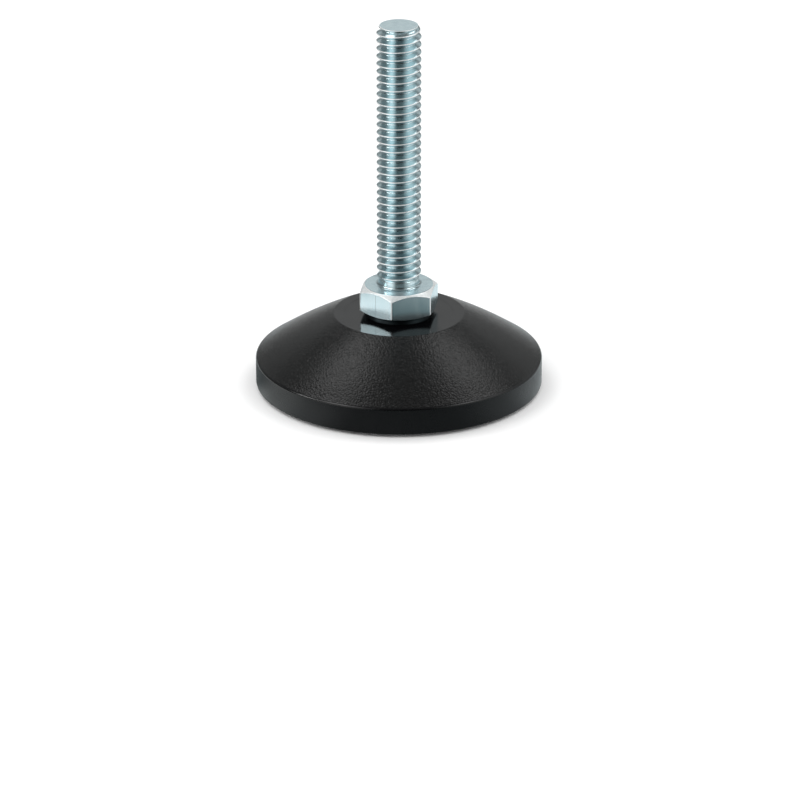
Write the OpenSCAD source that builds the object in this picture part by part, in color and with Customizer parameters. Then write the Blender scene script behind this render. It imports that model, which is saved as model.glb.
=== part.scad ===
// Swivel levelling foot. A moulded plastic foot plate holds a ball socket, and a
// steel spindle with a hexagon and a threaded stud snaps into it by its ball end.
// The origin is the middle of the floor face, and the stud points up.

/* [Foot plate] */
// Outer diameter of the foot plate
base_d = 50.8; // [46:0.1:60]
// Width of the rebate round the floor face
rebate_w = 1.35; // [0.8:0.05:2]
// Height of the rebate above the floor
rebate_h = 0.5; // [0.35:0.05:1.5]
// Radius of the rim's lower edge
rim_edge_r = 0.3; // [0.1:0.05:0.6]
// Height of the rim's upright wall above the floor
rim_h = 4.95; // [3:0.05:6]
// Width of the rounded shoulder between the rim and the dome
shoulder_w = 0.3; // [0.1:0.05:0.8]
// Height of the rounded shoulder
shoulder_h = 0.55; // [0.2:0.05:1]
// Height of the pad, the flat top of the plate, above the floor
pad_h = 13.4; // [12.6:0.1:18]
// Diameter of the pad
pad_d = 23.1; // [18:0.1:28]
// How far the dome's side bulges out past a straight cone
dome_bulge = 0.34; // [0.05:0.01:1]
// Thickness of the dome's wall over the pockets
wall = 2.5; // [1.5:0.1:3]

/* [Underside] */
// Width of the rim's ring, from the rim's wall to the pockets
rim_w = 5.55; // [4:0.05:8]
// Outer diameter of the hub
hub_d = 21.2; // [18:0.1:26]
// Depth of the hub's end face inside the floor face
hub_recess = 0.2; // [0.1:0.05:0.5]
// How far the ribs stand out of the hub's end face
rib_proud = 0.05; // [0.02:0.01:0.08]
// Number of ribs
rib_count = 8; // [4:1:10]
// Thickness of a rib at its free edge
rib_w = 2.85; // [1.5:0.05:4]
// Diameter of an ejector boss
boss_d = 5; // [3.5:0.1:6]
// Radius of the circle that the ejector bosses stand on
boss_circle_r = 14.9; // [13.6:0.1:17]
// An ejector boss stands on every so many ribs
boss_every = 2; // [1:1:4]
// Chamfer on the moulded edges
edge_c = 0.2; // [0.1:0.05:0.3]
// Mould draft, as side step for each unit of depth
draft = 0.02; // [0:0.005:0.04]

/* [Ball socket] */
// Diameter of the bore in the hub
bore_d = 14.1; // [13.6:0.1:16]
// Depth of the bore up to the lip
lip_z = 2.6; // [1.5:0.05:3.2]
// Inner diameter of the lip
lip_d = 12.34; // [11.6:0.02:13]
// Radius of the lip's rounded edge
lip_edge_r = 0.75; // [0.2:0.05:0.9]
// Height of the lip
lip_h = 1.8; // [1:0.05:2.4]
// How far the ball seat reaches below the ball's centre
seat_drop = 3.66; // [3:0.02:4.2]
// Clearance round the ball
ball_gap = 0.1; // [0.05:0.01:0.2]
// Chamfer of the snap mouth in the pad
mouth_c = 0.2; // [0.05:0.05:0.3]

/* [Ball end] */
// Diameter of the ball
ball_d = 12.7; // [12:0.1:13]
// Depth of the ball's centre below the pad
ball_depth = 2.74; // [2.4:0.02:3.2]
// Distance from the ball's centre to its flat end
ball_flat = 4.16; // [3.6:0.02:4.6]
// Width across the flats of the key socket in the ball
key_af = 5; // [4:0.5:6]
// Depth of the key socket
key_depth = 3.8; // [2.5:0.1:5]
// How far the countersink reaches past the key socket's corners
key_sink = 0.2; // [0.1:0.05:0.5]

/* [Hexagon] */
// Width across the flats
hex_af = 12.7; // [12.2:0.1:14]
// Height of the hexagon
hex_h = 4.74; // [3.6:0.02:7]
// Gap between the pad and the hexagon
hex_gap = 0.7; // [0.5:0.05:1.5]
// Diameter of the hexagon's round end faces
hex_face_d = 12; // [11.2:0.1:12]
// Slope of the chamfers on the lower corners
hex_low_slope = 23; // [15:1:40]
// Slope of the chamfers on the upper corners
hex_top_slope = 35; // [15:1:40]
// Turn of the hexagon about the stud
hex_turn = 19.5; // [0:0.5:60]

/* [Stud] */
// Major diameter of the thread
stud_d = 7.9; // [6:0.1:9]
// Pitch of the thread, close to 18 turns to the inch
thread_pitch = 1.4; // [1.15:0.01:2]
// Depth of the thread
thread_depth = 0.86; // [0.5:0.01:0.95]
// Length of the stud above the hexagon
stud_len = 47.9; // [20:0.1:120]
// Depth of the plain neck below the thread's crests
neck_depth = 0.35; // [0.1:0.05:0.8]
// Height of the plain neck above the hexagon
neck_h = 1.6; // [1.3:0.05:4]
// Radius of the fillet between the neck and the hexagon
neck_fillet = 0.85; // [0.3:0.05:1.2]
// How far the end face lies inside the thread's crests
tip_c = 0.6; // [0.2:0.05:1.5]
// Least height of the cone between the last crest and the end face
tip_h = 0.9; // [0.5:0.05:1.5]

/* [Hidden] */
black = [0.11, 0.11, 0.115];
zinc = [0.66, 0.75, 0.78];
$fn = 96;
// How far a cutting body runs past the surface that it cuts
over = 1;
// Number of straight steps in a rounded edge and in the dome's side
edge_steps = 8;
dome_steps = 16;

base_r = base_d / 2;
floor_r = base_r - rebate_w;
rim_bore_r = base_r - rim_w;
hub_r = hub_d / 2;
rib_z = hub_recess - rib_proud;
dome_foot = [base_r - shoulder_w, rim_h + shoulder_h];
dome_top = [pad_d / 2, pad_h];
dome_slope = atan((dome_top.y - dome_foot.y) / (dome_foot.x - dome_top.x));
ball_z = pad_h - ball_depth;
ball_r = ball_d / 2;
ball_end_z = ball_z - ball_flat;
socket_r = ball_r + ball_gap;
hex_z = pad_h + hex_gap;
hex_top_z = hex_z + hex_h;
hex_corner_r = hex_af / 2 / cos(30);
key_corner_r = key_af / 2 / cos(30);
stud_r = stud_d / 2;
neck_r = stud_r - neck_depth;
tip_z = hex_top_z + stud_len;
thread_z = hex_top_z + neck_h + neck_depth;
crest_w = thread_pitch / 8;
flank_h = thread_depth * tan(30);
turn_count = floor((tip_z - tip_h - crest_w - thread_z) / thread_pitch);
last_crest_z = thread_z + turn_count * thread_pitch;

// Points of the arc from a to b that bulges by s to the right of the way from a to b
function arc(a, b, s, steps) =
    let (half = norm(b - a) / 2, radius = (half * half + s * s) / (2 * s),
         along = (b - a) / (2 * half), right = [along.y, -along.x],
         centre = (a + b) / 2 - right * (radius - s), spread = asin(half / radius))
    [for (i = [0 : steps]) let (turn = spread * (2 * i / steps - 1))
        centre + radius * (right * cos(turn) + along * sin(turn))];

// The bulge that makes an arc from a to b start straight up
function upright_bulge(a, b) = norm(b - a) / 2 * tan(atan((a.x - b.x) / (b.y - a.y)) / 2);

// Points of a rounded edge of radius r about the point c, from angle a0 to a1
function round_edge(c, r, a0, a1) =
    [for (i = [0 : edge_steps]) let (a = a0 + (a1 - a0) * i / edge_steps)
        c + r * [cos(a), sin(a)]];

// Height of the pocket roof at radius r: the wall's thickness below the dome
function roof_z(r) = dome_foot.y + (dome_foot.x - r) * tan(dome_slope) - wall / cos(dome_slope);

// The plate before it is hollowed, from the floor face up to the pad
module plate_blank() {
    rim_top = [base_r, rim_h];
    rotate_extrude()
        polygon(concat(
            [[0, 0], [floor_r - edge_c, 0], [floor_r, edge_c], [floor_r, rebate_h]],
            round_edge([base_r - rim_edge_r, rebate_h + rim_edge_r], rim_edge_r, -90, 0),
            arc(rim_top, dome_foot, upright_bulge(rim_top, dome_foot), edge_steps),
            [for (p = arc(dome_foot, dome_top, dome_bulge, dome_steps)) if (p != dome_foot) p],
            [[0, pad_h]]));
}

// The hollow under the dome: a shallow recess over the hub, and the ring round it
// that reaches up to the pocket roof
module hollow() {
    roof_in_r = hub_r + draft * roof_z(hub_r);
    roof_out_r = rim_bore_r - draft * roof_z(rim_bore_r);
    rotate_extrude()
        polygon([
            [0, -over],
            [rim_bore_r + edge_c + over, -over],
            [rim_bore_r, edge_c],
            [roof_out_r, roof_z(roof_out_r)],
            [roof_in_r, roof_z(roof_in_r)],
            [hub_r, hub_recess + edge_c],
            [hub_r - edge_c, hub_recess],
            [0, hub_recess]]);
}

// One rib along +X, with chamfered free edges and sides that widen with the draft
module rib() {
    root_w = rib_w + 2 * draft * pad_h;
    rotate([90, 0, 90])
        linear_extrude(rim_bore_r + over)
            polygon([
                [-rib_w / 2 + edge_c, rib_z], [rib_w / 2 - edge_c, rib_z],
                [rib_w / 2, rib_z + edge_c], [root_w / 2, pad_h],
                [-root_w / 2, pad_h], [-rib_w / 2, rib_z + edge_c]]);
}

// One ejector boss, which thickens the rib along +X
module boss() {
    boss_r = boss_d / 2;
    boss_z = rib_z - rib_proud / 2;
    translate([boss_circle_r, 0, 0])
        rotate_extrude()
            polygon([
                [0, boss_z], [boss_r - edge_c, boss_z], [boss_r, boss_z + edge_c],
                [boss_r + draft * pad_h, pad_h], [0, pad_h]]);
}

// What the mould leaves of the hollow: everything but the ribs and the bosses
module pockets() {
    difference() {
        hollow();
        for (i = [0 : rib_count - 1])
            rotate(i * 360 / rib_count) {
                rib();
                if (i % boss_every == 0) boss();
            }
    }
}

// The stepped bore below the ball: its mouth, the rounded lip and the skirt that
// narrows up to the seat
module hub_bore() {
    bore_r = bore_d / 2;
    lip_r = lip_d / 2;
    lip_top = [lip_r, lip_z + lip_h];
    seat_edge = [sqrt(pow(socket_r, 2) - pow(seat_drop, 2)), ball_z - seat_drop];
    inside_ball = seat_edge + (seat_edge - lip_top) * 0.2;
    rotate_extrude()
        polygon(concat(
            [[0, -over], [bore_r + edge_c + over, hub_recess - over - edge_c],
             [bore_r + edge_c, hub_recess - edge_c], [bore_r, hub_recess + edge_c],
             [bore_r - draft * lip_z, lip_z]],
            round_edge([lip_r + lip_edge_r, lip_z + lip_edge_r], lip_edge_r, -90, -180),
            [lip_top, inside_ball, [0, ball_z]]));
}

// The socket that the ball turns in, and its lead-in chamfer at the pad
module ball_socket() {
    throat_z = ball_depth - mouth_c;
    throat_r = sqrt(pow(socket_r, 2) - pow(throat_z, 2));
    translate([0, 0, ball_z]) {
        sphere(r = socket_r);
        translate([0, 0, throat_z - mouth_c])
            cylinder(h = 3 * mouth_c, r1 = throat_r - mouth_c, r2 = throat_r + 2 * mouth_c);
    }
}

module foot_plate() {
    color(black)
        difference() {
            plate_blank();
            pockets();
            hub_bore();
            ball_socket();
        }
}

// The ball with its flat end and the key socket in it
module ball_end() {
    sink_r = key_corner_r + key_sink;
    drill_r = key_af / 2;
    translate([0, 0, ball_end_z])
        difference() {
            translate([0, 0, ball_flat]) sphere(r = ball_r);
            translate([0, 0, -ball_d]) cylinder(h = ball_d, r = ball_d);
            translate([0, 0, -over]) cylinder(h = key_depth + over, r = key_corner_r, $fn = 6);
            translate([0, 0, key_depth])
                cylinder(h = drill_r * tan(30), r1 = drill_r, r2 = 0);
            translate([0, 0, -over]) cylinder(h = sink_r + over, r1 = sink_r + over, r2 = 0);
        }
}

// The hexagon, with its corners turned off to a round face at each end
module hexagon() {
    face_r = hex_face_d / 2;
    reach = hex_corner_r - face_r + over;
    intersection() {
        translate([0, 0, hex_z]) rotate(hex_turn) cylinder(h = hex_h, r = hex_corner_r, $fn = 6);
        rotate_extrude()
            polygon([
                [0, hex_z], [face_r, hex_z],
                [face_r + reach, hex_z + reach * tan(hex_low_slope)],
                [face_r + reach, hex_top_z - reach * tan(hex_top_slope)],
                [face_r, hex_top_z], [0, hex_top_z]]);
    }
}

// One turn of the thread above the height z: the crest and the groove over it. The
// turns are level rings here, so the crests stay true cylinders of the major diameter
function thread_turn(z) =
    let (root_r = stud_r - thread_depth, groove_z = z + crest_w, next_z = z + thread_pitch)
    [[stud_r, z], [stud_r, groove_z], [root_r, groove_z + flank_h], [root_r, next_z - flank_h]];

// The filleted neck and the threaded stud, up to the cone at its end
module stud() {
    rotate_extrude()
        polygon(concat(
            [[0, hex_top_z - over], [neck_r + neck_fillet, hex_top_z - over]],
            round_edge([neck_r + neck_fillet, hex_top_z + neck_fillet], neck_fillet, -90, -180),
            [[neck_r, hex_top_z + neck_h]],
            [for (i = [0 : turn_count - 1], p = thread_turn(thread_z + i * thread_pitch)) p],
            [[stud_r, last_crest_z], [stud_r, last_crest_z + crest_w],
             [stud_r - tip_c, tip_z], [0, tip_z]]));
}

module spindle() {
    color(zinc) {
        ball_end();
        hexagon();
        stud();
    }
}

foot_plate();
spindle();
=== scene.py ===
import bmesh
import bpy
import numpy as np
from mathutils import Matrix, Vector


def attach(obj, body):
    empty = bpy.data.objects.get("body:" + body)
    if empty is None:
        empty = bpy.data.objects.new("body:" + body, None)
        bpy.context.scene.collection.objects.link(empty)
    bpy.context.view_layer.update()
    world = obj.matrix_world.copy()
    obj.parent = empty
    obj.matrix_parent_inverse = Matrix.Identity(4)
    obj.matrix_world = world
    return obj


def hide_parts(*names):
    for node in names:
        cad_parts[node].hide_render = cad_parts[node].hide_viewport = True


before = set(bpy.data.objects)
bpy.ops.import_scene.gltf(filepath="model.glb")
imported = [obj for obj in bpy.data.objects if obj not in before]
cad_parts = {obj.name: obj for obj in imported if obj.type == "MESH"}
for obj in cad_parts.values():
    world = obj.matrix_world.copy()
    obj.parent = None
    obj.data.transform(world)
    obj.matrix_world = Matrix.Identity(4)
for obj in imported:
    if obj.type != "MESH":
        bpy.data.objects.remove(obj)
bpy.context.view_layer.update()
MM = 0.001

# Camera
# A long lens looks down at the foot from just under 23 degrees, and aims a little
# below the floor face, so the foot stands in the upper half of a square picture.
camera_height_angle = np.radians(22.77)
camera_distance = 863.6 * MM
camera_aim = np.array([0.19, 0, -3.498]) * MM
focal_px = 4842.8
picture_px = 800
sensor_mm = 36

camera_data = bpy.data.cameras.new("camera")
camera_data.sensor_width = sensor_mm
camera_data.lens = focal_px / picture_px * sensor_mm
camera_data.clip_start = 0.05
camera_data.clip_end = 20
camera = bpy.data.objects.new("camera", camera_data)
camera_way = np.array([0, -np.cos(camera_height_angle), np.sin(camera_height_angle)])
camera.location = camera_aim + camera_distance * camera_way
camera.rotation_euler = (np.pi / 2 - camera_height_angle, 0, 0)
bpy.context.scene.collection.objects.link(camera)
bpy.context.scene.camera = camera
bpy.context.scene.view_settings.view_transform = "Standard"

# Foot plate
# One injection moulding in black glass-filled polyamide. The dome is spark-eroded,
# the pad on top is polished, and the rim and the ribbed underside are plain tool
# steel. The ball socket is moulded under the pad, and the spindle snaps into it.
base_r = 25.4
floor_r = 24.05
floor_edge_r = 0.12
rebate_h = 0.5
rebate_root_r = 0.06
rim_edge_r = 0.3
rim_h = 4.95
shoulder_drop = 0.15
shoulder_r = 0.62
dome_foot = np.array([25.1, 5.5])
dome_top = np.array([11.55, 13.4])
dome_bulge = 0.34
pad_edge_r = 0.12
wall = 2.5
rim_bore_r = 19.85
hub_r = 10.6
hub_recess = 0.2
rib_z = 0.15
rib_w = 2.85
rib_count = 8
rib_bore_gap = 0.28
rib_rim_overlap = 0.6
rib_pad_gap = 1
boss_r = 2.5
boss_edge_r = 0.12
boss_proud = 0.03
boss_top_z = 12
boss_circle_r = 14.9
draft = 0.02
mould_edge_r = 0.2
root_r = 0.5
pad_ring_r = 9.6
pad_ring_step = 0.02
ball_centre_z = 10.66
socket_r = 6.45
mouth_z = 13.2
mouth_edge_r = 0.05
seat_z = 7.0
lip_r = 6.17
lip_edge_r = 0.75
lip_top_edge_r = 0.1
lip_low_z = 2.6
lip_top_z = 4.4
bore_r = 7.05
bore_root_r = 0.04
plate_columns = 240
dome_rows = 25
socket_rows = 24
lip_rows = 9
rib_rows = 40
boss_columns = 64
plate_sharp_degrees = 32


def arc(centre, radius, start, stop, steps):
    """Points on a circle about centre, at even angles from start to stop in degrees."""
    a = np.radians(np.linspace(start, stop, steps))
    return np.asarray(centre) + radius * np.stack([np.cos(a), np.sin(a)], axis=-1)


def bulged(a, b, bulge, steps):
    """Points of the arc from a to b whose middle lies bulge to the right of the line a-b."""
    a, b = np.asarray(a, float), np.asarray(b, float)
    half = np.linalg.norm(b - a) / 2
    radius = (half**2 + bulge**2) / (2 * bulge)
    along = (b - a) / (2 * half)
    right = np.array([along[1], -along[0]])
    centre = (a + b) / 2 - right * (radius - bulge)
    turn = np.arcsin(half / radius) * np.linspace(-1, 1, steps)[:, None]
    return centre + radius * (right * np.cos(turn) + along * np.sin(turn))


def rounded(corners, steps=5):
    """An outline through corners (x, y, r): each corner is cut back to where a circle of
    radius r touches both its sides, and the circle's arc takes its place."""
    out = []
    points = np.array([c[:2] for c in corners], float)
    for k, (x, y, r) in enumerate(corners):
        here = points[k]
        if r == 0:
            out.append(here[None])
            continue
        to_last = points[k - 1] - here
        to_next = points[(k + 1) % len(points)] - here
        to_last /= np.linalg.norm(to_last)
        to_next /= np.linalg.norm(to_next)
        half_angle = np.arccos(np.clip(to_last @ to_next, -1, 1)) / 2
        middle = (to_last + to_next) / np.linalg.norm(to_last + to_next)
        centre = here + middle * r / np.sin(half_angle)
        start = here + to_last * r / np.tan(half_angle) - centre
        stop = here + to_next * r / np.tan(half_angle) - centre
        t = np.linspace(0, 1, steps)[:, None]
        spread = np.pi - 2 * half_angle
        out.append(centre + (np.sin((1 - t) * spread) * start + np.sin(t * spread) * stop)
                   / np.sin(spread))
    return np.concatenate(out)


def grid_faces(rows, columns, close_rows=False):
    """Quads between neighbouring points of a grid, in index order. The columns join up into
    a ring, and so do the rows if close_rows is true."""
    r = np.arange(rows if close_rows else rows - 1)
    r, c = [x.ravel() for x in np.meshgrid(r, np.arange(columns), indexing="ij")]
    r2, c2 = (r + 1) % rows, (c + 1) % columns
    return np.stack([r * columns + c, r * columns + c2, r2 * columns + c2, r2 * columns + c], 1)


def make_piece(name, points, faces):
    """A mesh object from points in millimetres and faces as lists of point numbers."""
    mesh = bpy.data.meshes.new(name)
    mesh.from_pydata((np.asarray(points) * MM).tolist(), [], [list(map(int, f)) for f in faces])
    mesh.update()
    piece = bpy.data.objects.new(name, mesh)
    bpy.context.scene.collection.objects.link(piece)
    return piece


def roof_z(r):
    """Height of the pocket roof at radius r: a straight cone one wall below the dome."""
    run, rise = dome_foot[0] - dome_top[0], dome_top[1] - dome_foot[1]
    return dome_foot[1] + (dome_foot[0] - r) * rise / run - wall * np.hypot(run, rise) / run


def plate_profile():
    """The section of everything round in the plate, as one closed outline (radius, height)."""
    dome = bulged(dome_foot, dome_top, dome_bulge, dome_rows)
    seat_r = np.sqrt(socket_r**2 - (ball_centre_z - seat_z) ** 2)
    mouth_r = np.sqrt(socket_r**2 - (mouth_z - ball_centre_z) ** 2)
    pad_z = dome_top[1]
    seat_angle = np.degrees(np.arctan2(seat_z - ball_centre_z, seat_r))
    mouth_angle = np.degrees(np.arctan2(mouth_z - ball_centre_z, mouth_r))
    socket = arc([0, ball_centre_z], socket_r, mouth_angle, seat_angle, socket_rows)
    lip = arc([lip_r + lip_edge_r, lip_low_z + lip_edge_r], lip_edge_r, 180, 270, lip_rows)
    outline = [
        [rim_bore_r, 0, mould_edge_r],
        [floor_r, 0, floor_edge_r],
        [floor_r, rebate_h, rebate_root_r],
        [base_r, rebate_h, rim_edge_r],
        [base_r, dome_foot[1] - shoulder_drop, shoulder_r]]
    outline += [[x, y, 0] for x, y in dome[1:-1]]
    outline += [
        [dome_top[0], pad_z, pad_edge_r],
        [pad_ring_r, pad_z, 0],
        [pad_ring_r - pad_ring_step, pad_z - pad_ring_step, 0],
        [mouth_r + pad_z - mouth_z, pad_z - pad_ring_step, mouth_edge_r]]
    outline += [[x, y, 0] for x, y in socket]
    outline += [[lip_r, lip_top_z, lip_top_edge_r]]
    outline += [[x, y, 0] for x, y in lip]
    outline += [
        [bore_r - draft * lip_low_z, lip_low_z, bore_root_r],
        [bore_r, hub_recess, mould_edge_r],
        [hub_r, hub_recess, mould_edge_r],
        [hub_r + draft * roof_z(hub_r), roof_z(hub_r), root_r],
        [rim_bore_r - draft * roof_z(rim_bore_r), roof_z(rim_bore_r), root_r]]
    return rounded(outline)


def revolve(profile, columns):
    """Each profile point carried round the Z axis, as rows of points of a closed ring."""
    a = np.linspace(0, 2 * np.pi, columns, endpoint=False)
    r, z = profile[:, :1], profile[:, 1:]
    points = np.stack([r * np.cos(a), r * np.sin(a), z + 0 * a], axis=-1)
    return points.reshape(-1, 3), grid_faces(len(profile), columns, close_rows=True)


def into_wall(x, y):
    """Height half-way into the dome's wall over the point (x, y), below the pad."""
    return np.minimum(roof_z(np.hypot(x, y)) + wall / 2, dome_top[1] - rib_pad_gap)


def rib_mesh(angle):
    """A bar along +X turned by angle: its section has rounded free edges and drafted
    sides, and its back follows the pocket roof, half-way into the wall."""
    x = np.linspace(bore_r + rib_bore_gap, rim_bore_r + rib_rim_overlap, rib_rows)
    root_w = rib_w / 2 + draft * dome_top[1]
    section = rounded([
        [-root_w, dome_top[1], 0], [-rib_w / 2, rib_z, mould_edge_r],
        [rib_w / 2, rib_z, mould_edge_r], [root_w, dome_top[1], 0]])
    y = np.broadcast_to(section[:, 0], (len(x), len(section)))
    xs = np.broadcast_to(x[:, None], y.shape)
    z = np.minimum(section[:, 1], into_wall(xs, y))
    c, s = np.cos(angle), np.sin(angle)
    points = np.stack([xs * c - y * s, xs * s + y * c, z], axis=-1).reshape(-1, 3)
    n = len(section)
    caps = [list(range(n))[::-1], list(range((len(x) - 1) * n, len(x) * n))]
    return points, [*grid_faces(len(x), n).tolist(), *caps]


def boss_mesh(angle):
    """A drafted round stud on the boss circle, whose back follows the pocket roof."""
    boss_z = rib_z - boss_proud
    side = rounded([
        [0, boss_z, 0], [boss_r, boss_z, boss_edge_r],
        [boss_r + draft * boss_top_z, boss_top_z, 0]])
    a = np.linspace(0, 2 * np.pi, boss_columns, endpoint=False)
    rows = side[1:]
    x = boss_circle_r + rows[:, :1] * np.cos(a)
    y = rows[:, :1] * np.sin(a)
    z = np.minimum(rows[:, 1:], into_wall(x, y))
    c, s = np.cos(angle), np.sin(angle)
    points = np.stack([x * c - y * s, x * s + y * c, z], axis=-1).reshape(-1, 3)
    last = (len(rows) - 1) * len(a)
    caps = [list(range(len(a)))[::-1], list(range(last, last + len(a)))]
    return points, [*grid_faces(len(rows), len(a)).tolist(), *caps]


def joined(meshes):
    """Several (points, faces) as one."""
    first = np.cumsum([0] + [len(p) for p, f in meshes])
    faces = [[int(i) + k for i in f] for k, (p, fs) in zip(first, meshes) for f in fs]
    return np.concatenate([p for p, f in meshes]), faces


def finished(piece, sharp_degrees):
    """Bakes the piece's modifiers into its mesh and shades it smooth, with hard edges
    where two faces meet at more than sharp_degrees."""
    bpy.context.view_layer.update()
    seen = piece.evaluated_get(bpy.context.evaluated_depsgraph_get())
    piece.data = bpy.data.meshes.new_from_object(seen)
    piece.modifiers.clear()
    piece.data.shade_smooth()
    piece.data.set_sharp_from_angle(angle=np.radians(sharp_degrees))
    weights = piece.modifiers.new("face_weighted_normals", "WEIGHTED_NORMAL")
    weights.keep_sharp = True
    weights.weight = 90
    return piece


plate = make_piece("foot_plate_moulding", *revolve(plate_profile(), plate_columns))
spokes = [rib_mesh(2 * np.pi * k / rib_count) for k in range(rib_count)]
spokes += [boss_mesh(2 * np.pi * k / rib_count) for k in range(0, rib_count, 2)]
ribs = make_piece("ribs", *joined(spokes))
fuse = plate.modifiers.new("fuse_ribs", "BOOLEAN")
fuse.operation = "UNION"
fuse.solver = "EXACT"
fuse.use_self = True
fuse.object = ribs
finished(plate, plate_sharp_degrees)
bpy.data.objects.remove(ribs)


def linear(hex_colour):
    """An sRGB hex colour as linear red, green, blue and full alpha."""
    c = np.array([int(hex_colour[i:i + 2], 16) for i in (1, 3, 5)]) / 255
    c = np.where(c <= 0.04045, c / 12.92, ((c + 0.055) / 1.055) ** 2.4)
    return (*c.tolist(), 1.0)


def add_node(tree, kind, links=None, stops=(), between_stops="LINEAR", **settings):
    """A shader node with its settings, and its input sockets set or linked by name. A
    colour ramp also gets its stops, of (place, hex colour), and the way between them."""
    made = tree.nodes.new("ShaderNode" + kind)
    for key, value in settings.items():
        setattr(made, key, value)
    for socket, value in (links or {}).items():
        if isinstance(value, bpy.types.NodeSocket):
            tree.links.new(value, made.inputs[socket])
        else:
            made.inputs[socket].default_value = value
    if stops:
        made.color_ramp.interpolation = between_stops
        while len(made.color_ramp.elements) < len(stops):
            made.color_ramp.elements.new(0.5)
        for element, (place, colour) in zip(made.color_ramp.elements, stops):
            element.position = place
            element.color = linear(colour)
    return made


def new_material(name):
    """An empty node material: its tree, its object coordinates and its output."""
    material = bpy.data.materials.new(name)
    material.use_nodes = True
    tree = material.node_tree
    tree.nodes.clear()
    where = add_node(tree, "TexCoord").outputs["Object"]
    return material, tree, where, add_node(tree, "OutputMaterial")


# Black polyamide on the spark-eroded dome: a finely pitted skin with a soft sheen. The
# real pits are finer. These are a third of a millimetre apart, so that they show.
material, tree, where, out = new_material("spark_eroded_polyamide")
pit_size = 1 / 3
pit_depth = 0.07
pits = add_node(tree, "TexNoise", {
    "Vector": where, "Scale": 1 / (pit_size * MM), "Detail": 1.0, "Roughness": 0.5})
bump = add_node(tree, "Bump", {
    "Height": pits.outputs["Fac"], "Strength": 1.0, "Distance": pit_depth * MM})
# Its colour follows the pits' depth: darker down in them and paler on the crowns between, which
# paints shade into the pits.
tone = add_node(
    tree, "ValToRGB", {"Fac": pits.outputs["Fac"]}, stops=[(0.3, "#050505"), (0.7, "#171717")])
shader = add_node(tree, "BsdfPrincipled", {
    "Base Color": tone.outputs["Color"], "Roughness": 0.24, "IOR": 1.43,
    "Normal": bump.outputs["Normal"]})
tree.links.new(shader.outputs[0], out.inputs["Surface"])
plate.data.materials.append(material)

# The same polyamide off plain tool steel, on the rim and the underside: a satin skin
# with faint flow swirls.
material, tree, where, out = new_material("moulded_polyamide")
swirl_size = 3.846
tool_mark_size = 2 / 7
tool_mark_depth = 0.01
flow = add_node(tree, "TexNoise", {
    "Vector": where, "Scale": 1 / (swirl_size * MM), "Detail": 5.0, "Distortion": 1.2})
shine = add_node(tree, "MapRange", {
    "Value": flow.outputs["Fac"], "From Min": 0.3, "From Max": 0.7,
    "To Min": 0.25, "To Max": 0.35})
fine = add_node(tree, "TexNoise", {
    "Vector": where, "Scale": 1 / (tool_mark_size * MM), "Detail": 2.0})
bump = add_node(tree, "Bump", {
    "Height": fine.outputs["Fac"], "Strength": 0.25, "Distance": tool_mark_depth * MM})
tone = add_node(
    tree, "ValToRGB", {"Fac": flow.outputs["Fac"]}, stops=[(0.0, "#060607"), (1.0, "#0b0b0c")])
shader = add_node(tree, "BsdfPrincipled", {
    "Base Color": tone.outputs["Color"], "Roughness": shine.outputs[0], "IOR": 1.46,
    "Normal": bump.outputs["Normal"]})
tree.links.new(shader.outputs[0], out.inputs["Surface"])
plate.data.materials.append(material)

# The same polyamide off polished steel, on the pad under the hexagon: a gloss skin, a
# little cloudy, that mirrors the hexagon.
material, tree, where, out = new_material("polished_polyamide")
cloud_size = 10 / 3
cloud = add_node(tree, "TexNoise", {
    "Vector": where, "Scale": 1 / (cloud_size * MM), "Detail": 4.0})
shine = add_node(tree, "MapRange", {
    "Value": cloud.outputs["Fac"], "From Min": 0.3, "From Max": 0.7,
    "To Min": 0.14, "To Max": 0.19})
shader = add_node(tree, "BsdfPrincipled", {
    "Base Color": linear("#050506"), "Roughness": shine.outputs[0], "IOR": 1.33})
tree.links.new(shader.outputs[0], out.inputs["Surface"])
plate.data.materials.append(material)

# The same polyamide on the round shoulder between the dome and the rim: the grain has
# worn off it, so it shines more than the pad.
material, tree, where, out = new_material("worn_polyamide")
rubbed_size = 10 / 9
rubbed = add_node(tree, "TexNoise", {
    "Vector": where, "Scale": 1 / (rubbed_size * MM), "Detail": 3.0})
shine = add_node(tree, "MapRange", {
    "Value": rubbed.outputs["Fac"], "From Min": 0.3, "From Max": 0.7,
    "To Min": 0.16, "To Max": 0.24})
shader = add_node(tree, "BsdfPrincipled", {
    "Base Color": linear("#050506"), "Roughness": shine.outputs[0], "IOR": 1.53})
tree.links.new(shader.outputs[0], out.inputs["Surface"])
plate.data.materials.append(material)

centres = np.zeros(len(plate.data.polygons) * 3)
plate.data.polygons.foreach_get("center", centres)
centres = centres.reshape(-1, 3) / MM
centre_r = np.hypot(centres[:, 0], centres[:, 1])
centre_z = centres[:, 2]
dome_slack = 0.02
pad_slack = 0.1
rim_slack = 0.002
outside = centre_z > roof_z(centre_r) + wall / 2
on_dome = outside & (centre_r > dome_top[0] + dome_slack) & (centre_z > dome_foot[1])
on_pad = (centre_z > dome_top[1] - pad_slack) & ~on_dome
on_shoulder = (centre_r > dome_foot[0]) & (centre_r < base_r - rim_slack) & (centre_z > rim_h)
finish_index = np.select([on_shoulder, on_dome, on_pad], [3, 0, 2], 1)
plate.data.polygons.foreach_set("material_index", finish_index.astype(np.int32))
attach(plate, "foot")
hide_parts("foot_plate")

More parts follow.
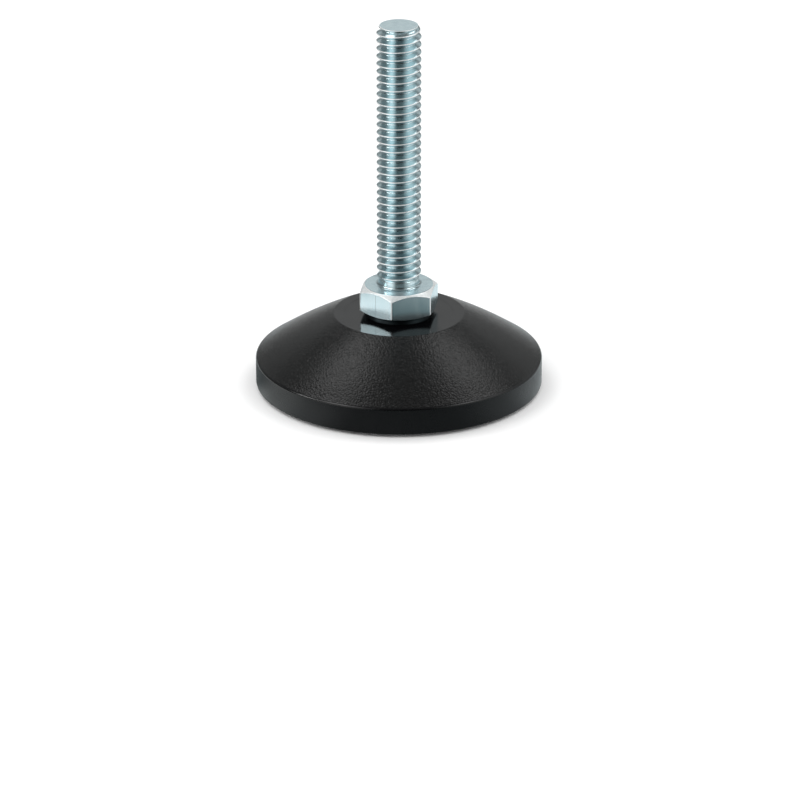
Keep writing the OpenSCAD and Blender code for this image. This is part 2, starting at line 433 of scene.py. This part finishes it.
# Spindle
# One piece of steel: the ball, the hexagon and the neck are cold headed and turned, the
# thread is rolled on the stud, and the whole is zinc plated with a blue passivation.
ball_r = 6.35
ball_end_z = 6.5
key_af = 5.0
key_depth = 3.8
key_cone_slope = np.radians(30)
key_sink_r = 3.09
hex_af = 12.7
hex_low_z = 14.1
hex_top_z = 18.84
hex_face_r = 6.0
hex_low_slope = np.radians(23)
hex_top_slope = np.radians(35)
hex_turn = 19.5
hex_corner_cut = 0.06
hex_edge = 0.05
hex_low_edge_slope = 0.4
hex_top_edge_slope = 0.8
hex_face_edge = ((3, 2.1), (1, 0.6), (-1, 0))
ball_edge = 0.05
key_edge = 0.02
neck_r = 3.6
neck_fillet = 0.65
stud_r = 3.95
pitch = 1.4
crest_arc_r = 0.12
root_arc_r = 0.22
arc_half_degrees = 60
worn_share = 0.075
thread_start_z = 20.1
crest_z = 19.86
tip_z = 66.74
tip_r = 3.38
tip_slope = 0.5
tip_lip_h = 0.1
thread_top_z = tip_z - 1.5 * tip_lip_h
run_in = 0.5 * pitch
angle_step = 3.6
corner_steps = np.array([-0.9, -0.45, 0.45, 0.9])
ball_rows = 22
fillet_rows = 9
weld_gap = 0.002
spindle_sharp_degrees = 30


def hexagon_r(angle, across_flats, edge_r):
    """Distance from the middle to the side of a hexagon, at an angle from a corner, with
    its corners turned off at edge_r inside the point."""
    to_middle = (angle % (np.pi / 3)) - np.pi / 6
    return np.minimum(across_flats / 2 / np.cos(to_middle), across_flats / np.sqrt(3) - edge_r)


def spindle_angles():
    """Even steps round the spindle, with closer ones at the hexagon's corners."""
    even = np.arange(0, 360, angle_step)
    corners = hex_turn + 60 * np.arange(6)
    near_corners = (corners[:, None] + corner_steps).ravel() % 360
    return np.radians(np.unique(np.concatenate([even, near_corners])))


def thread_r(share):
    """Radius of a rolled 60 degree thread at a share of the pitch from a crest: an arc over
    the crest, a straight flank that touches it, and an arc in the root that touches both."""
    away = np.abs((share + 0.5) % 1 - 0.5) * pitch
    to_root = pitch / 2 - away
    flank = stud_r + crest_arc_r - np.sqrt(3) * away
    crest = stud_r - crest_arc_r + np.sqrt(np.maximum(crest_arc_r**2 - away**2, 0))
    root_r = stud_r + crest_arc_r + root_arc_r - np.sqrt(3) / 2 * pitch
    root = root_r + root_arc_r - np.sqrt(np.maximum(root_arc_r**2 - to_root**2, 0))
    reach = np.sin(np.radians(arc_half_degrees))
    on_crest_arc = away < crest_arc_r * reach
    on_root_arc = to_root < root_arc_r * reach
    return np.select([on_crest_arc, on_root_arc], [crest, root], flank)


def turn_shares():
    """Shares of one turn of thread where rows of points go: even steps of the crest's arc
    and of the root's arc, the edge of the worn crest, and the middle of each flank."""
    crest_steps = np.radians(np.linspace(0, arc_half_degrees, 4))
    root_steps = np.radians(np.linspace(arc_half_degrees, 0, 5))
    crest = crest_arc_r * np.sin(crest_steps) / pitch
    root = 0.5 - root_arc_r * np.sin(root_steps) / pitch
    half = np.concatenate([crest, [worn_share, (worn_share + root[0]) / 2], root])
    return np.concatenate([half, 1 - half[-2:0:-1]])


def ease(x):
    """A smooth rise from 0 to 1 as x goes from 0 to 1."""
    x = np.clip(x, 0, 1)
    return x * x * (3 - 2 * x)


def spindle_rows(angle):
    """Rows of (radius, height) up the spindle at every angle, from the bottom of the key
    socket over the ball, the hexagon, the neck and the thread to the stud's end."""
    flat = 0 * angle
    socket_r_here = hexagon_r(angle, key_af, 0)
    side_r = hexagon_r(angle - np.radians(hex_turn), hex_af, hex_corner_cut)
    deep_z = ball_end_z + key_depth
    rows = [(flat, flat + deep_z + key_af / 2 * np.tan(key_cone_slope))]
    rows += [(flat + key_af / 2 - key_edge, flat + deep_z)]
    rows += [(socket_r_here, flat + deep_z)]
    rows += [(socket_r_here, ball_end_z + key_sink_r - socket_r_here)]
    rows += [(flat + key_sink_r, flat + ball_end_z)]
    end_r = np.sqrt(ball_r**2 - (ball_centre_z - ball_end_z) ** 2)
    rows += [(flat + end_r - 2 * ball_edge, flat + ball_end_z)]
    under_r = np.sqrt(ball_r**2 - (hex_low_z - ball_centre_z) ** 2)
    low = np.degrees(np.arctan2(ball_end_z + ball_edge - ball_centre_z, end_r))
    high = np.degrees(np.arctan2(hex_low_z - ball_centre_z, under_r))
    ball = arc([0, ball_centre_z], ball_r, low, high, ball_rows)
    rows += [(flat + r, flat + z) for r, z in ball]
    rows += [(flat + hex_face_r, flat + hex_low_z)]
    low_z = hex_low_z + (side_r - hex_face_r) * np.tan(hex_low_slope)
    top_z = hex_top_z - (side_r - hex_face_r) * np.tan(hex_top_slope)
    rows += [(side_r - hex_edge, low_z - hex_edge * hex_low_edge_slope)]
    rows += [(side_r, low_z + hex_edge), (side_r, top_z - hex_edge)]
    rows += [(side_r - hex_edge, top_z + hex_edge * hex_top_edge_slope)]
    for outwards, down in hex_face_edge:
        rows += [(flat + hex_face_r + outwards * hex_edge, flat + hex_top_z - down * hex_edge)]
    fillet_centre = [neck_r + neck_fillet, hex_top_z + neck_fillet]
    fillet = arc(fillet_centre, neck_fillet, 270, 180, fillet_rows)
    rows += [(flat + r, flat + z) for r, z in fillet]
    first_thread = len(rows)
    one_turn = turn_shares()
    turns = int(np.ceil((tip_z - crest_z) / pitch)) + 1
    for share in (np.arange(-1, turns)[:, None] + one_turn).ravel():
        z = crest_z + pitch * (share + angle / (2 * np.pi))
        z = np.clip(z, thread_start_z, thread_top_z)
        here = (z - crest_z) / pitch - angle / (2 * np.pi)
        grown = ease((z - thread_start_z) / run_in)
        r = neck_r + grown * (thread_r(here) - neck_r)
        rows += [(np.minimum(r, tip_r + tip_slope * (tip_z - z)), z)]
    last_thread = len(rows) - 1
    rows += [(flat + tip_r, flat + tip_z - tip_lip_h)]
    rows += [(flat + tip_r, flat + tip_z - tip_lip_h / 2)]
    rows += [(flat + tip_r - tip_lip_h / 2, flat + tip_z), (flat, flat + tip_z)]
    return rows, first_thread, last_thread, len(one_turn)


def spindle_mesh():
    """The rows as one closed skin. In the thread each row climbs one pitch a turn, so its
    last point meets the first point of the row one turn above."""
    angles = spindle_angles()
    rows, first_thread, last_thread, turn_rows = spindle_rows(angles)
    r = np.stack([row[0] for row in rows])
    z = np.stack([row[1] for row in rows])
    points = np.stack([r * np.cos(angles), r * np.sin(angles), z], axis=-1)
    count, columns = r.shape
    faces = grid_faces(count, columns)
    seam = faces[:, 0] % columns == columns - 1
    for corner in (1, 2):
        row = faces[:, corner] // columns
        climbs = seam & (row >= first_thread) & (row < last_thread)
        up = np.minimum(row + turn_rows, last_thread)
        faces[:, corner] = np.where(climbs, up * columns, faces[:, corner])
    return points.reshape(-1, 3), faces


def weld(piece, distance):
    """Merges points that lie closer than distance, and drops faces left with no area."""
    shape = bmesh.new()
    shape.from_mesh(piece.data)
    bmesh.ops.remove_doubles(shape, verts=shape.verts, dist=distance)
    bmesh.ops.dissolve_degenerate(shape, edges=shape.edges, dist=distance)
    shape.to_mesh(piece.data)
    shape.free()


spindle = make_piece("threaded_spindle", *spindle_mesh())
weld(spindle, weld_gap * MM)
finished(spindle, spindle_sharp_degrees)

# Zinc plate with a blue passivation on steel: a bright smooth metal with a cold blue
# green cast, a few cloudy streaks up and down, and a fine seam from the heading die
# across the middle of two opposite faces of the hexagon.
material, tree, where, out = new_material("blue_passivated_zinc")
streak_size = 10 / 7
streak_slimness = 0.3
drawn = add_node(tree, "Mapping", {"Vector": where, "Scale": (1, 1, streak_slimness)})
cloud = add_node(tree, "TexNoise", {
    "Vector": drawn.outputs[0], "Scale": 1 / (streak_size * MM), "Detail": 5.0})
tone = add_node(
    tree, "ValToRGB", {"Fac": cloud.outputs["Fac"]}, stops=[(0.3, "#c6dde3"), (0.75, "#d9ebef")])
seam_inner = 0.03 * MM
seam_outer = 0.09 * MM
seam_turn = np.radians(hex_turn + 210)
across = add_node(tree, "VectorMath", {
    0: where, 1: (-np.sin(seam_turn), np.cos(seam_turn), 0)}, operation="DOT_PRODUCT")
off_seam = add_node(tree, "Math", {0: across.outputs["Value"]}, operation="ABSOLUTE")
seam = add_node(tree, "MapRange", {
    "Value": off_seam.outputs[0], "From Min": seam_inner, "From Max": seam_outer,
    "To Min": 0.35, "To Max": 0.0})
height = add_node(tree, "SeparateXYZ", {0: where})
seam_end_gap = 0.5
seam_top = (hex_top_z - seam_end_gap) * MM
on_hexagon = add_node(tree, "Math", {0: height.outputs["Z"], 1: seam_top}, operation="LESS_THAN")
seam_share = add_node(tree, "Math", {
    0: seam.outputs[0], 1: on_hexagon.outputs[0]}, operation="MULTIPLY")
seamed = add_node(tree, "MixRGB", {
    "Fac": seam_share.outputs[0], "Color1": tone.outputs["Color"], "Color2": linear("#404a4c")})
shine = add_node(tree, "MapRange", {
    "Value": cloud.outputs["Fac"], "From Min": 0.3, "From Max": 0.7,
    "To Min": 0.19, "To Max": 0.23})
shader = add_node(tree, "BsdfPrincipled", {
    "Base Color": seamed.outputs[0], "Metallic": 1.0, "Roughness": shine.outputs[0]})
tree.links.new(shader.outputs[0], out.inputs["Surface"])
spindle.data.materials.append(material)

# The same zinc where it lies on a turned or rolled edge: the hexagon's chamfer, the crest
# of the thread and the rim of the stud's end. It is rougher and looks whiter.
material, tree, where, out = new_material("zinc_on_turned_edges")
scratch_size = 0.4
scratch = add_node(tree, "TexNoise", {
    "Vector": where, "Scale": 1 / (scratch_size * MM), "Detail": 3.0})
tone = add_node(
    tree, "ValToRGB", {"Fac": scratch.outputs["Fac"]}, stops=[(0.3, "#e8eeef"), (0.7, "#fcfefe")])
shader = add_node(tree, "BsdfPrincipled", {
    "Base Color": tone.outputs["Color"], "Metallic": 0.6, "Roughness": 0.36})
tree.links.new(shader.outputs[0], out.inputs["Surface"])
spindle.data.materials.append(material)

# The same zinc on the ball, darkened as painted shade for the gap under the hexagon and inside
# the socket, with a faint mottle.
material, tree, where, out = new_material("zinc_darkened_as_painted_shade")
shade_mottle_size = 20 / 7
shade_mottle = add_node(tree, "TexNoise", {
    "Vector": where, "Scale": 1 / (shade_mottle_size * MM), "Detail": 4.0})
tone = add_node(
    tree, "ValToRGB", {"Fac": shade_mottle.outputs["Fac"]}, stops=[(0.3, "#1e2224"), (0.75, "#30383a")])
shader = add_node(tree, "BsdfPrincipled", {
    "Base Color": tone.outputs["Color"], "Metallic": 1.0, "Roughness": 0.4})
tree.links.new(shader.outputs[0], out.inputs["Surface"])
spindle.data.materials.append(material)

# The same zinc on the two flat turned faces, the hexagon's top and the stud's end: their
# fine tool marks scatter light, so they stay pale from every side.
material, tree, where, out = new_material("zinc_on_flat_faces")
mark_size = 10 / 9
marks = add_node(tree, "TexNoise", {
    "Vector": where, "Scale": 1 / (mark_size * MM), "Detail": 4.0})
tone = add_node(
    tree, "ValToRGB", {"Fac": marks.outputs["Fac"]}, stops=[(0.3, "#bdd2d8"), (0.75, "#cde0e4")])
shader = add_node(tree, "BsdfPrincipled", {
    "Base Color": tone.outputs["Color"], "Metallic": 0.75, "Roughness": 0.24})
tree.links.new(shader.outputs[0], out.inputs["Surface"])
spindle.data.materials.append(material)

centres = np.zeros(len(spindle.data.polygons) * 3)
normals = np.zeros(len(spindle.data.polygons) * 3)
spindle.data.polygons.foreach_get("center", centres)
spindle.data.polygons.foreach_get("normal", normals)
x, y, z = centres.reshape(-1, 3).T / MM
slope = np.degrees(np.arcsin(normals.reshape(-1, 3)[:, 2].clip(-1, 1)))
centre_r = np.hypot(x, y)
from_crest = (z - crest_z) / pitch - np.arctan2(y, x) % (2 * np.pi) / (2 * np.pi)
past_crest = (from_crest + 0.5) % 1 - 0.5
under_crest_share = 0.6 * crest_arc_r / pitch
ball_end_margin = 0.3
chamfer_slope = 20
rim_slope = 60
level_slope = 80
hexagon_foot_h = 1
above_hexagon_foot = z > hex_low_z + hexagon_foot_h
near_crest = (past_crest < worn_share) & (past_crest > -under_crest_share)
on_crest = near_crest & (z > thread_start_z + run_in) & (z < thread_top_z)
on_rim = (z > thread_top_z) & (slope < rim_slope)
past_top_face = (centre_r > hex_face_r) & (z < hex_top_z - hex_edge)
on_chamfer = above_hexagon_foot & past_top_face & (slope > chamfer_slope)
on_corner = (centre_r > hex_af / np.sqrt(3) - 1.1 * hex_corner_cut) & (z > hex_low_z)
# The ball's round side takes the darkened zinc of painted shade.
on_ball = (z > ball_end_z + ball_end_margin) & (z < hex_low_z) & (centre_r > key_sink_r)
on_edge = on_crest | on_rim | on_chamfer | on_corner
off_thread = (z > tip_z - tip_lip_h) | (z < thread_start_z)
on_face = above_hexagon_foot & off_thread & (slope > level_slope)
finish_index = np.select([on_ball, on_edge, on_face], [2, 1, 3], 0)
spindle.data.polygons.foreach_set("material_index", finish_index.astype(np.int32))
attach(spindle, "spindle")
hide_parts("spindle")

# Floor
# A plain pale floor, wide enough for every view, with the foot standing on it. Gloss
# doesn't mirror it: it mirrors the dark and pale cards that lie round the foot instead.
floor_half = 3000
floor_corners = np.array([[-1, -1, 0], [1, -1, 0], [1, 1, 0], [-1, 1, 0]]) * floor_half
floor = make_piece("floor", floor_corners, [[0, 1, 2, 3]])
floor.visible_glossy = False
material, tree, where, out = new_material("pale_floor")
shader = add_node(tree, "BsdfPrincipled", {"Base Color": linear("#f4f4f4"), "Roughness": 0.8})
tree.links.new(shader.outputs[0], out.inputs["Surface"])
floor.data.materials.append(material)

# Upright panels round the foot, as shares of a turn seen from above: 0 and 1 at the
# back, 0.25 at the left, 0.5 at the front and 0.75 at the right.
panel_stops = [
    (0.0, "#c2c4c4"), (0.045, "#c2c4c4"), (0.085, "#949696"), (0.16, "#787a7a"),
    (0.25, "#646868"), (0.30, "#b6baba"), (0.34, "#ffffff"), (0.39, "#f8f8f8"),
    (0.43, "#989c9c"), (0.46, "#4c5252"), (0.565, "#4c5252"), (0.61, "#989c9c"),
    (0.66, "#d2d4d4"), (0.70, "#e6e8e8"), (0.755, "#dcdede"), (0.79, "#b0b4b4"),
    (0.85, "#b6b8b8"), (0.915, "#a6a8a8"), (0.955, "#c2c4c4"), (1.0, "#c2c4c4")]
panel_light = 1.3


def panel_share(tree, where):
    """The share of a turn at which a direction or place lies, as in panel_stops."""
    turned = add_node(tree, "Mapping", {"Vector": where, "Rotation": (0, 0, np.radians(90))})
    round_about = add_node(
        tree, "TexGradient", {"Vector": turned.outputs[0]}, gradient_type="RADIAL")
    return round_about.outputs["Fac"]


# Cards on the floor that only gloss sees: a ring that the rim mirrors, one that the
# hexagon mirrors, and outside them the image of the panels, which the thread mirrors.
card_z = 0.02
card_edges_r = np.array([[25.6], [900]])
card_columns = 96
card_angles = np.linspace(0, 2 * np.pi, card_columns, endpoint=False)
card_x = card_edges_r * np.cos(card_angles)
card_y = card_edges_r * np.sin(card_angles)
card_points = np.stack([card_x, card_y, np.full_like(card_x, card_z)], axis=-1)
cards = make_piece("reflection_cards", card_points.reshape(-1, 3), grid_faces(2, card_columns))
for ray in ("camera", "diffuse", "transmission", "volume_scatter", "shadow"):
    setattr(cards, "visible_" + ray, False)
material, tree, where, out = new_material("dark_and_pale_card")
share = panel_share(tree, where)
far_cards = add_node(
    tree, "ValToRGB", {"Fac": share}, stops=panel_stops, between_stops="EASE")
hexagon_cards = add_node(tree, "ValToRGB", {"Fac": share}, between_stops="EASE", stops=[
    (0.0, "#dce4e6"), (0.16, "#d4dcde"), (0.235, "#ffffff"), (0.30, "#ffffff"),
    (0.345, "#70787a"), (0.42, "#50585a"), (0.56, "#485254"), (0.608, "#566466"),
    (0.66, "#6c7678"), (0.72, "#6c7678"), (0.82, "#ccd4d6"), (1.0, "#dce4e6")])
rim_cards = add_node(tree, "ValToRGB", {"Fac": share}, between_stops="EASE", stops=[
    (0.0, "#80888a"), (0.06, "#6c7476"), (0.25, "#6c7476"), (0.30, "#c4caca"),
    (0.335, "#d4dada"), (0.38, "#b8bec0"), (0.44, "#686e70"), (0.57, "#5e6668"),
    (0.655, "#a2aaac"), (0.70, "#c4ccce"), (0.79, "#bcc4c6"), (0.94, "#b4bcbe"),
    (1.0, "#80888a")])
rim_cards_end = (35 * MM, 40 * MM)
hexagon_cards_end = (52 * MM, 58 * MM)
distance = add_node(tree, "VectorMath", {0: where}, operation="LENGTH").outputs["Value"]
past_rim = add_node(tree, "MapRange", {
    "Value": distance, "From Min": rim_cards_end[0], "From Max": rim_cards_end[1]})
past_hexagon = add_node(tree, "MapRange", {
    "Value": distance, "From Min": hexagon_cards_end[0], "From Max": hexagon_cards_end[1]})
inner = add_node(tree, "MixRGB", {
    "Fac": past_rim.outputs[0], "Color1": rim_cards.outputs["Color"],
    "Color2": hexagon_cards.outputs["Color"]})
both = add_node(tree, "MixRGB", {
    "Fac": past_hexagon.outputs[0], "Color1": inner.outputs[0],
    "Color2": far_cards.outputs["Color"]})
glow = add_node(tree, "Emission", {"Color": both.outputs[0], "Strength": panel_light})
tree.links.new(glow.outputs[0], out.inputs["Surface"])
cards.data.materials.append(material)

# Light
# Two soft boxes high up behind the foot, one at its left and two in front of it, in a
# pale room that lights the floor evenly. Gloss mirrors the room's upright panels, which
# are dark in front of the foot and low behind it, and end under a darker ceiling.
soft_box_distance = 1.2
room_light = 1.1
dark_front = "#1c1e1e"
dark_ceiling = "#5e6060"


def soft_box(name, azimuth, elevation, width, height, power):
    """A rectangular light that faces the foot from an azimuth and elevation in degrees."""
    data = bpy.data.lights.new(name, "AREA")
    data.shape = "RECTANGLE"
    data.size = width
    data.size_y = height
    data.energy = power
    light = bpy.data.objects.new(name, data)
    a, e = np.radians(azimuth), np.radians(elevation)
    way = np.array([np.cos(e) * np.cos(a), np.cos(e) * np.sin(a), np.sin(e)])
    light.location = way * soft_box_distance
    light.rotation_euler = Vector((-way).tolist()).to_track_quat("-Z", "Y").to_euler()
    bpy.context.scene.collection.objects.link(light)


soft_box("soft_box_left", azimuth=144, elevation=63, width=0.46, height=0.42, power=1.35)
soft_box("soft_box_right", azimuth=39, elevation=58, width=0.46, height=0.42, power=1.2)
soft_box("soft_box_side", azimuth=189, elevation=24, width=0.3, height=0.3, power=1.6)
soft_box("soft_box_front_left", azimuth=211, elevation=44, width=0.4, height=0.4, power=1.2)
soft_box("soft_box_front_right", azimuth=334, elevation=44, width=0.35, height=0.35, power=0.8)

world = bpy.data.worlds.new("pale_room")
bpy.context.scene.world = world
world.use_nodes = True
tree = world.node_tree
tree.nodes.clear()
way = add_node(tree, "TexCoord").outputs["Generated"]
share = panel_share(tree, way)
height = add_node(tree, "SeparateXYZ", {0: way}).outputs["Z"]
front_start, front_end = 0.45, 0.57
back_start, back_end = 0.84, 0.2
dark_front_stops = [
    (place, dark_front if front_start < place < front_end else colour)
    for place, colour in panel_stops]
low_back_stops = [
    (place, dark_ceiling if place < back_end or place > back_start else colour)
    for place, colour in dark_front_stops]
panels = add_node(
    tree, "ValToRGB", {"Fac": share}, stops=dark_front_stops, between_stops="EASE")
high_panels = add_node(
    tree, "ValToRGB", {"Fac": share}, stops=low_back_stops, between_stops="EASE")
past_back = add_node(tree, "MapRange", {
    "Value": height, "From Min": 0.46, "From Max": 0.6}, interpolation_type="SMOOTHSTEP")
past_panels = add_node(tree, "MapRange", {
    "Value": height, "From Min": 0.62, "From Max": 0.8}, interpolation_type="SMOOTHSTEP")
all_panels = add_node(tree, "MixRGB", {
    "Fac": past_back.outputs[0], "Color1": panels.outputs["Color"],
    "Color2": high_panels.outputs["Color"]})
walls = add_node(tree, "MixRGB", {
    "Fac": past_panels.outputs[0], "Color1": all_panels.outputs[0],
    "Color2": linear(dark_ceiling)})
near_floor = add_node(tree, "ValToRGB", {"Fac": height}, between_stops="EASE", stops=[
    (0.0, "#e0e0e0"), (0.07, "#8c8c8c"), (0.16, "#8c8c8c"), (0.36, "#ffffff")])
seen_walls = add_node(tree, "MixRGB", {
    "Fac": 1.0, "Color1": walls.outputs[0], "Color2": near_floor.outputs["Color"]},
    blend_type="MULTIPLY")
mirrored = add_node(tree, "Background", {
    "Color": seen_walls.outputs[0], "Strength": panel_light})
even = add_node(tree, "Background", {"Color": (1, 1, 1, 1), "Strength": room_light})
is_gloss = add_node(tree, "LightPath").outputs["Is Glossy Ray"]
room = add_node(tree, "MixShader", {0: is_gloss, 1: even.outputs[0], 2: mirrored.outputs[0]})
tree.links.new(room.outputs[0], add_node(tree, "OutputWorld").inputs["Surface"])

bpy.context.view_layer.update()
